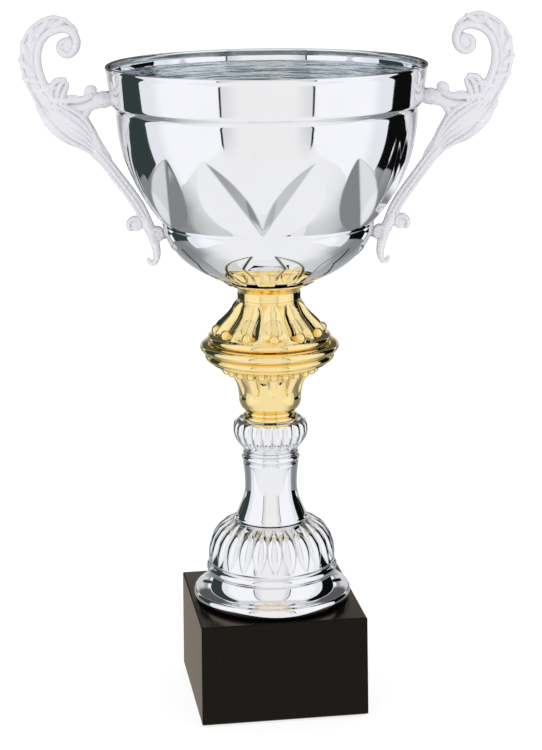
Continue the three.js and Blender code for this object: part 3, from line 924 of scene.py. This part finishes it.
def step_up(tree, value, start, end):
    """0 below start and 1 above end, smooth between."""
    node = tree.nodes.new("ShaderNodeMapRange")
    node.interpolation_type = "SMOOTHSTEP"
    tree.links.new(value, node.inputs["Value"])
    for socket, number in (("From Min", start), ("From Max", end)):
        if isinstance(number, (int, float)):
            node.inputs[socket].default_value = number
        else:
            tree.links.new(number, node.inputs[socket])
    return node.outputs["Result"]


def ramp(tree, value, stops):
    node = tree.nodes.new("ShaderNodeValToRGB")
    elements = node.color_ramp.elements
    while len(elements) > 1:
        elements.remove(elements[-1])
    for k, (position, colour) in enumerate(stops):
        element = elements[0] if k == 0 else elements.new(position)
        element.position = position
        element.color = (*colour, 1)
    tree.links.new(value, node.inputs["Fac"])
    return node.outputs["Color"]


PANEL = (0.93, 0.92, 0.925)
PANEL_EDGE = (0.70, 0.71, 0.73)
SOFTBOX = (1.0, 1.0, 1.04)
DIM_BOX = (0.84, 0.86, 0.91)
FLAG_LEFT, FLAG_RIGHT = (0.033, 0.050, 0.047), (0.004, 0.004, 0.004)
STRIPE = (0.95, 0.96, 0.98)
BEHIND_STRIPE = (0.38, 0.38, 0.40)
BEHIND_HIGH = (0.10, 0.10, 0.10)
BACK = (0.67, 0.67, 0.69)
BACK_MIDDLE = (0.88, 0.88, 0.90)
TABLE = (0.93, 0.93, 0.94)
TABLE_DARK = (0.24, 0.25, 0.26)
TABLE_BELOW = (0.88, 0.88, 0.89)
CEILING = (0.72, 0.72, 0.74)
ROOM, BACKGROUND = (0.95, 0.95, 0.96), (1.0, 1.0, 1.0)
WALL_RADIUS, WALL_HALF_HEIGHT = 600.0, 1500.0

# The wall's pattern: degrees are counted from the front to each side, and heights are above the origin
PANEL_FADE, PANEL_FADE_HEIGHT = (17.0, 31.0), (-60.0, 200.0)
GAP_LINE, BOX_START, GAP_LINE_HEIGHT = (31.1, 31.7), (32.6, 33.2), (30.0, 90.0)
GAP_COLOUR = (0.01, 0.01, 0.012)
DIM_START, FLAG_START, FLAG_END = (76.0, 88.0), (98.2, 99.2), (129.5, 130.5)
BEHIND_START, BACK_START, MIDDLE_START = (136.5, 141.0), (147.0, 154.0), (165.0, 172.0)
LOW_FLAG_START, LOW_FLAG_END = (129.5, 131.0), (156.0, 160.0)
LOW_FLAG_BOTTOM, LOW_FLAG_TOP = (45.0, 60.0), (120.0, 150.0)
HIGH_FLAG_START, HIGH_FLAG_BOTTOM, HIGH_FLAG_TOP = (129.5, 134.0), (230.0, 330.0), (700.0, 950.0)
CEILING_START = (1000.0, 1300.0)
TABLE_EDGE_REACH = 300.0
TABLE_EDGE = (
    (0, -50), (31.5, -50), (33, 110), (36, 40), (40, 0), (46, -35), (58, -80), (68, -150), (78, -205),
    (97.5, -215), (99, -36), (127, -36), (129, -22), (180, -22),
)
TABLE_DARK_AROUND = (
    (0, 0), (50, 0), (70, 0.12), (85, 0.45), (100, 0.85), (115, 1), (135, 1), (150, 0.85), (165, 0.7),
    (180, 0.6),
)
TABLE_DARK_DOWN = (
    (-1500, 0.38), (-1000, 0.38), (-700, 0.45), (-520, 0.6), (-420, 0.9), (-300, 1), (-20, 1),
)


def profile(tree, value, low, high, stops):
    """A number that follows (value, number) stops, for numbers from 0 to 1."""
    share = calc(tree, "DIVIDE", calc(tree, "SUBTRACT", value, low), high - low)
    return ramp(tree, share, [((at - low) / (high - low), (number,) * 3) for at, number in stops])


def wall_places(tree):
    """A wall point's side (x), its degrees from the front and its height in millimetres."""
    place = tree.nodes.new("ShaderNodeTexCoord")
    split = tree.nodes.new("ShaderNodeSeparateXYZ")
    tree.links.new(place.outputs["Object"], split.inputs[0])
    x, y, z = split.outputs
    azimuth = calc(tree, "ABSOLUTE", calc(tree, "ARCTAN2", x, calc(tree, "MULTIPLY", y, -1.0)))
    degrees = calc(tree, "MULTIPLY", azimuth, 180 / math.pi)
    return x, degrees, calc(tree, "MULTIPLY", z, 1000.0)


def window(tree, value, start, end):
    """1 between start and end, which are each a pair of numbers to fade between."""
    return calc(tree, "SUBTRACT", step_up(tree, value, *start), step_up(tree, value, *end))


def patch(tree, wall, colour, *shares):
    """The wall with a colour laid over it where both shares are 1."""
    return mix_colour(tree, calc(tree, "MULTIPLY", *shares), wall, colour)


def table_pattern(tree, degrees, height):
    """The colour of the table, darker towards the back, and a number that is 1 above the table's edge."""
    reach, soft = TABLE_EDGE_REACH, 8.0
    stops = [(at, (z + reach) / (2 * reach)) for at, z in TABLE_EDGE]
    edge = calc(tree, "MULTIPLY_ADD", profile(tree, degrees, 0.0, 180.0, stops), 2 * reach, -reach)
    above = step_up(tree, height, calc(tree, "SUBTRACT", edge, soft), calc(tree, "ADD", edge, soft))
    around = profile(tree, degrees, 0.0, 180.0, TABLE_DARK_AROUND)
    down = profile(tree, height, -WALL_HALF_HEIGHT, 0.0, TABLE_DARK_DOWN)
    return patch(tree, TABLE, TABLE_DARK, around, down), above


def wall_pattern(tree):
    """What polished metal sees: a pale panel in front, a softbox and a dark flag at each side, and a table."""
    x, degrees, height = wall_places(tree)
    faded = step_up(tree, degrees, *PANEL_FADE)
    wall = patch(tree, PANEL, PANEL_EDGE, faded, step_up(tree, height, *PANEL_FADE_HEIGHT))
    wall = mix_colour(tree, step_up(tree, degrees, *BOX_START), wall, SOFTBOX)
    line = window(tree, degrees, GAP_LINE, BOX_START)
    wall = patch(tree, wall, GAP_COLOUR, line, step_up(tree, height, *GAP_LINE_HEIGHT))
    flag = mix_colour(tree, step_up(tree, x, -0.01, 0.01), FLAG_LEFT, FLAG_RIGHT)
    for start, colour in (
        (DIM_START, DIM_BOX), (FLAG_START, flag), (FLAG_END, STRIPE), (BEHIND_START, BEHIND_STRIPE),
        (BACK_START, BACK), (MIDDLE_START, BACK_MIDDLE),
    ):
        wall = mix_colour(tree, step_up(tree, degrees, *start), wall, colour)
    low_side = window(tree, degrees, LOW_FLAG_START, LOW_FLAG_END)
    wall = patch(tree, wall, flag, low_side, window(tree, height, LOW_FLAG_BOTTOM, LOW_FLAG_TOP))
    high_side = step_up(tree, degrees, *HIGH_FLAG_START)
    wall = patch(tree, wall, BEHIND_HIGH, high_side, window(tree, height, HIGH_FLAG_BOTTOM, HIGH_FLAG_TOP))
    table, above = table_pattern(tree, degrees, height)
    whole = mix_colour(tree, above, table, wall)
    return mix_colour(tree, step_up(tree, height, *CEILING_START), whole, CEILING)


def studio_walls():
    """A glowing round wall that only reflections see."""
    around = 180
    angle = turns(around)[0]
    rows = []
    for z in (-WALL_HALF_HEIGHT, WALL_HALF_HEIGHT):
        rows.append(np.stack([WALL_RADIUS * np.sin(angle), -WALL_RADIUS * np.cos(angle), z + 0 * angle], 1))
    wall = mesh_object("studio_wall", np.vstack(rows), grid_faces(2, around, False, True), smooth=False)
    material, tree, shader = new_material("wall_glow")
    glow = tree.nodes.new("ShaderNodeEmission")
    tree.links.new(wall_pattern(tree), glow.inputs["Color"])
    tree.links.new(glow.outputs[0], tree.nodes["Material Output"].inputs["Surface"])
    material.cycles.emission_sampling = "NONE"
    dress(wall, material)
    wall.visible_camera = False
    wall.visible_diffuse = False
    wall.visible_transmission = False
    wall.visible_shadow = False


def studio_world():
    world = bpy.data.worlds.new("studio")
    world.use_nodes = True
    bpy.context.scene.world = world
    tree = world.node_tree
    rays = tree.nodes.new("ShaderNodeLightPath")
    place = tree.nodes.new("ShaderNodeTexCoord")
    split = tree.nodes.new("ShaderNodeSeparateXYZ")
    tree.links.new(place.outputs["Generated"], split.inputs[0])
    ends = mix_colour(tree, step_up(tree, split.outputs[2], -0.1, 0.1), TABLE_BELOW, CEILING)
    seen = mix_colour(tree, rays.outputs["Is Glossy Ray"], ROOM, ends)
    whole = mix_colour(tree, rays.outputs["Is Camera Ray"], seen, BACKGROUND)
    tree.links.new(whole, tree.nodes["Background"].inputs["Color"])
    world.cycles.sampling_method = "NONE"


def studio_floor():
    half, drop = 15000.0, -0.05
    corners = [(x * half, y * half, drop) for x, y in ((-1, -1), (1, -1), (1, 1), (-1, 1))]
    floor = mesh_object("studio_floor", corners, [(0, 1, 2, 3)], smooth=False)
    material, tree, shader = new_material("floor_paper")
    shader.inputs["Roughness"].default_value = 0.9
    shader.inputs["Specular IOR Level"].default_value = 0.0
    colour = mix_colour(tree, noise(tree, 2, 2, 0.5), (0.30, 0.30, 0.30), (0.32, 0.32, 0.32))
    tree.links.new(colour, shader.inputs["Base Color"])
    shader.inputs["Emission Color"].default_value = (1, 1, 1, 1)
    shader.inputs["Emission Strength"].default_value = 0.8
    dress(floor, material)
    floor.visible_glossy = False
    floor.visible_transmission = False


CAMERA_DISTANCE = 1039.0
CAMERA_HEIGHT = 411.8
CAMERA_ROLL = math.radians(0.62)
SENSOR, LENS = 36.0, 100.8
SHIFT_SIDEWAYS, SHIFT_DOWN = 0.009013, -0.690667


def studio_camera():
    """A camera that looks level from above the rim; a lens shift brings the trophy into the picture."""
    data = bpy.data.cameras.new("camera")
    camera = bpy.data.objects.new("camera", data)
    bpy.context.scene.collection.objects.link(camera)
    bpy.context.scene.camera = camera
    data.sensor_width = SENSOR
    data.lens = LENS
    data.clip_start, data.clip_end = 0.05, 100.0
    camera.location = Vector((0, -CAMERA_DISTANCE, CAMERA_HEIGHT)) * MM
    camera.rotation_euler = (math.pi / 2, CAMERA_ROLL, 0)
    shift_while_here(data, "shift_x", SHIFT_SIDEWAYS, camera)
    shift_while_here(data, "shift_y", SHIFT_DOWN, camera)


def shift_while_here(data, name, amount, camera):
    """Applies a lens shift only while the camera stands where it was put, so that other views are centred."""
    setattr(data, name, amount)
    driver = data.driver_add(name).driver
    driver.type = "SCRIPTED"
    variable = driver.variables.new()
    variable.name = "d"
    variable.type = "TRANSFORMS"
    target = variable.targets[0]
    target.id = camera
    target.transform_type = "LOC_Y"
    target.transform_space = "WORLD_SPACE"
    driver.expression = f"{amount:.6f} if abs(d + {CAMERA_DISTANCE * MM:.6f}) < 0.0001 else 0"


# Assembly

SILVER_BRIGHT, SILVER_DULL = (0.93, 0.935, 0.94), (0.88, 0.885, 0.90)
SILVER = plated("silver_plate", SILVER_BRIGHT, SILVER_DULL, 0.02, 0.06, painted_lines=True)
# The last colour of the stem silver and of the gold is the painted shade in their concave creases.
STEM_SILVER = plated("stem_silver_plate", SILVER_BRIGHT, SILVER_DULL, 0.02, 0.06, (0.30, 0.31, 0.32))
GOLD = plated("gold_plate", (1.0, 0.81, 0.40), (0.98, 0.77, 0.35), 0.04, 0.09, (0.42, 0.25, 0.07))
INSIDE = spun_inside()
PLASTIC = clear_plastic()
STEEL = zinc_steel()


def handle_right():
    return handle("handle_right_cast", 1)


def handle_left():
    return handle("handle_left_cast", -1)


PIECES = [
    (bowl, "bowl", "silver", (SILVER, INSIDE)),
    (gold_crown, "gold_crown", "gold", (GOLD,)),
    (gold_bell, "gold_bell", "gold", (GOLD,)),
    (bell_beads, "gold_bell", "gold", (GOLD,)),
    (gold_cup, "gold_cup", "gold", (GOLD,)),
    (cup_beads, "gold_cup", "gold", (GOLD,)),
    (knop, "stem_knop", "silver", (STEM_SILVER,)),
    (collar, "stem_collar", "silver", (STEM_SILVER,)),
    (column, "stem_column", "silver", (STEM_SILVER,)),
    (foot, "foot", "silver", (STEM_SILVER,)),
    (handle_right, "handle_right", "handle", (PLASTIC,)),
    (handle_left, "handle_left", "handle", (PLASTIC,)),
]

for build, node, slot, materials in PIECES:
    piece = build()
    dress(piece, *materials)
    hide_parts(node)
    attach(piece, "root")

CAD_FINISHES = {"marble": marble(), "pad": pad_rubber(), "steel": STEEL}
for part in frame["record"]["subparts"]:
    if part["material_slot"] in CAD_FINISHES:
        dress(frame["nodes"][part["node"]], CAD_FINISHES[part["material_slot"]])

studio_world()
studio_walls()
studio_floor()
studio_camera()
bpy.context.scene.view_settings.view_transform = "Standard"
